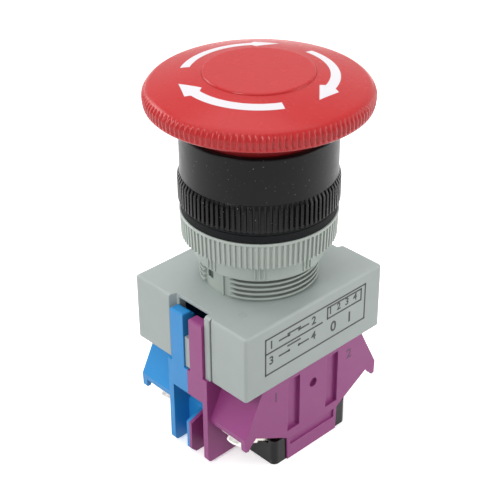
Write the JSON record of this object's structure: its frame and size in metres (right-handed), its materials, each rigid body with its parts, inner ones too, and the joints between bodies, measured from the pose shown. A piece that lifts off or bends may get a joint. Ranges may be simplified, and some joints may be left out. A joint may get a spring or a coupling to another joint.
{
  "type": "emergency stop button",
  "caption": "Panel-mount mushroom emergency stop push-button with turn-to-reset head, locking ring, adaptor box and two clip-on contact blocks.",
  "frame": {"origin": "on the button's axis at the panel's front face, which is the gasket's underside", "axes": "+Z along the button's axis towards the mushroom head; X along the adaptor's long side; -Y towards the printed plate and the normally-closed block"},
  "size_m": [0.04, 0.04, 0.0724],
  "materials": {
    "red_head": "satin moulded thermoplastic",
    "red_dark": "satin moulded thermoplastic",
    "black_body": "satin moulded polycarbonate",
    "black_bezel": "moulded, slightly glossy ribs",
    "gasket_rubber": "matt nitrile rubber",
    "grey_thread": "moulded, satin",
    "grey_ring": "moulded, satin",
    "grey_box": "fine spark-eroded moulding texture",
    "violet_shell": "satin moulded polyamide",
    "blue_shell": "satin moulded polyamide",
    "black_core": "moulded phenolic, slightly glossy",
    "white_acetal": "acetal",
    "zinc_steel": "bright zinc plate",
    "spring_steel": "drawn wire",
    "plated_strip": "nickel-plated brass",
    "silver_tip": "silver alloy"
  },
  "bodies": {
    "operator_body": {"front_collar": "black_body", "bezel_ring": "black_bezel", "panel_gasket": "gasket_rubber", "threaded_neck": "grey_thread", "mounting_adaptor": "grey_box", "nc_housing": "violet_shell", "no_housing": "blue_shell", "nc_core": "black_core", "no_core": "black_core", "terminal_screws": "zinc_steel", "terminal_washers": "zinc_steel", "nc_terminal_strips": "plated_strip", "no_terminal_strips": "plated_strip", "nc_fixed_tips": "silver_tip", "no_fixed_tips": "silver_tip", "return_spring": "spring_steel", "nc_spring": "spring_steel", "no_contact_spring": "spring_steel", "no_return_spring": "spring_steel", "lock_pin_spring_left": "spring_steel", "lock_pin_spring_right": "spring_steel"},
    "push_rod": {"plunger": "white_acetal", "push_plate": "white_acetal", "push_plate_screw": "zinc_steel", "head_screw": "zinc_steel", "torsion_spring": "spring_steel"},
    "head": {"mushroom_head": "red_head", "head_cap": "red_head", "cam_sleeve": "red_dark"},
    "lock_pin_left": {"lock_pin_left": "zinc_steel"},
    "lock_pin_right": {"lock_pin_right": "zinc_steel"},
    "nc_contact_carrier": {"nc_stem": "white_acetal", "nc_bridge": "plated_strip", "nc_bridge_tips": "silver_tip"},
    "no_contact_stem": {"no_stem": "white_acetal"},
    "no_contact_bridge": {"no_bridge": "plated_strip", "no_bridge_tips": "silver_tip"},
    "washer": {"thrust_washer": "grey_ring"},
    "nut": {"locking_ring": "grey_ring"}
  },
  "joints": [
    {"name": "head_push", "type": "slide", "parent": "operator_body", "child": "push_rod", "axis": [0, 0, 1], "range_m": [-0.004, 0], "stiffness_N_per_m": 1500, "springref_m": 0.004, "deforming": ["return_spring"]},
    {"name": "head_twist", "type": "hinge", "parent": "push_rod", "child": "head", "pos_m": [0, 0, 0.0205], "axis": [0, 0, 1], "range_deg": [-40, 0], "stiffness_Nm_per_rad": 0.06, "springref_deg": 20.05},
    {"name": "nc_carrier_slide", "type": "slide", "parent": "operator_body", "child": "nc_contact_carrier", "axis": [0, 0, 1], "range_m": [-0.0041, 0.0001], "deforming": ["nc_spring"]},
    {"name": "no_stem_slide", "type": "slide", "parent": "operator_body", "child": "no_contact_stem", "axis": [0, 0, 1], "range_m": [-0.0041, 0.0001], "deforming": ["no_return_spring"]},
    {"name": "no_bridge_slide", "type": "slide", "parent": "operator_body", "child": "no_contact_bridge", "axis": [0, 0, 1], "range_m": [-0.00216, 0.0001], "deforming": ["no_contact_spring"]},
    {"name": "lock_pin_left_slide", "type": "slide", "parent": "operator_body", "child": "lock_pin_left", "axis": [-1, 0, 0], "range_m": [-0.00005, 0.00105], "deforming": ["lock_pin_spring_left"]},
    {"name": "lock_pin_right_slide", "type": "slide", "parent": "operator_body", "child": "lock_pin_right", "axis": [1, 0, 0], "range_m": [-0.00005, 0.00105], "deforming": ["lock_pin_spring_right"]},
    {"name": "washer_slide", "type": "slide", "parent": "operator_body", "child": "washer", "axis": [0, 0, 1], "range_m": [-0.0044, 0]},
    {"name": "nut_turn", "type": "hinge", "parent": "washer", "child": "nut", "pos_m": [0, 0, -0.0025], "axis": [0, 0, 1], "range_deg": [-1602, 18]}
  ],
  "couplings": [
    {"joint": "nc_carrier_slide", "follows": "head_push", "ratio": 1},
    {"joint": "no_stem_slide", "follows": "head_push", "ratio": 1},
    {"joint": "no_bridge_slide", "follows": "head_push", "ratio": 0.5375},
    {"joint": "lock_pin_left_slide", "follows": "head_push", "ratio": -0.25},
    {"joint": "lock_pin_right_slide", "follows": "head_push", "ratio": -0.25},
    {"joint": "nut_turn", "follows": "washer_slide", "rad_per_m": 6283.2}
  ]
}
